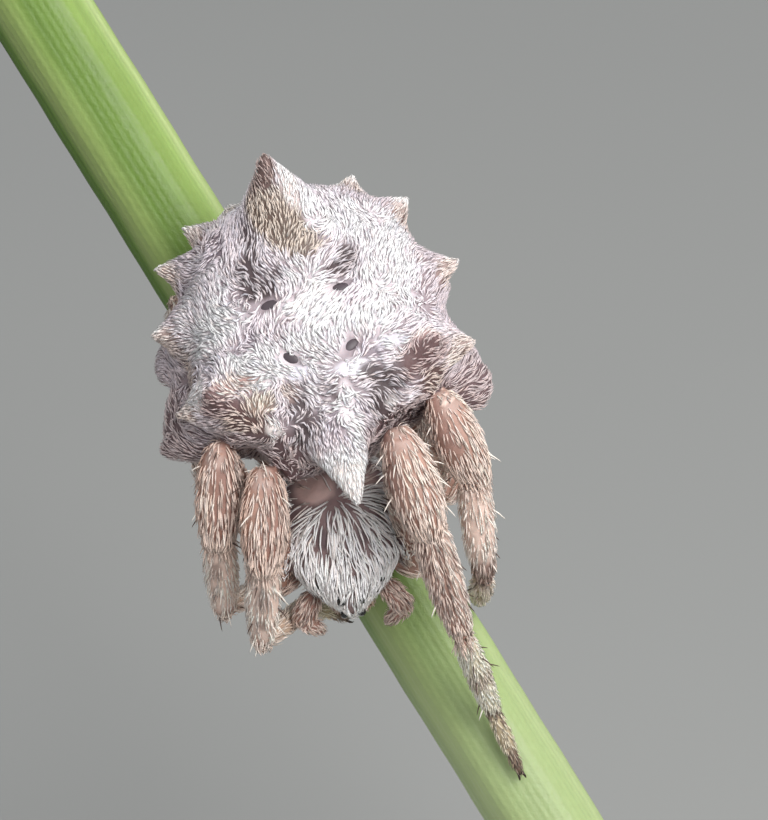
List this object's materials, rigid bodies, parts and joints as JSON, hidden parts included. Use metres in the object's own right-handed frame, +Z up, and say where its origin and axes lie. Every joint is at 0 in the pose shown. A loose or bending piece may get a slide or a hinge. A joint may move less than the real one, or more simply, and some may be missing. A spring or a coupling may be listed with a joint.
{
  "type": "gray star-bellied orbweaver",
  "caption": "Life-size still model of a spiny-backed orb-weaving spider hunched on a cut green stem, held by a flat display base and short rods.",
  "frame": {"origin": "bottom centre of the whole model, on the underside of the stand's base", "axes": "+Z up; +X to the animal's left, across the picture; -Y toward the side that the animal's back and head face"},
  "size_m": [0.02, 0.015, 0.0302],
  "materials": {
    "abdomen": "lilac-gray and white flat hairs over dark skin, matte",
    "prosoma": "dark brown-gray skin under long white hairs, matte",
    "legs": "tan and pinkish brown skin under cream hairs, matte",
    "spinnerets": "dark brown, slightly velvety",
    "mouthparts": "dark red-brown, horn-like gloss",
    "eyes": "black, wet gloss",
    "perch": "fresh green plant stem with pale lengthwise bands, satin",
    "stand": "pale satin display stand"
  },
  "bodies": {
    "root": {"abdomen": "abdomen", "chelicera_left": "mouthparts", "chelicera_right": "mouthparts", "eye_anterior_lateral_left": "eyes", "eye_anterior_lateral_right": "eyes", "eye_anterior_median_left": "eyes", "eye_anterior_median_right": "eyes", "eye_posterior_lateral_left": "eyes", "eye_posterior_lateral_right": "eyes", "eye_posterior_median_left": "eyes", "eye_posterior_median_right": "eyes", "leg_left_1": "legs", "leg_left_2": "legs", "leg_left_3": "legs", "leg_left_4": "legs", "leg_right_1": "legs", "leg_right_2": "legs", "leg_right_3": "legs", "leg_right_4": "legs", "palp_left": "legs", "palp_right": "legs", "pedicel": "prosoma", "perch_stem": "perch", "prosoma": "prosoma", "spinnerets": "spinnerets", "stand_base": "stand", "stand_rod_lower": "stand", "stand_rod_upper": "stand"}
  },
  "joints": []
}
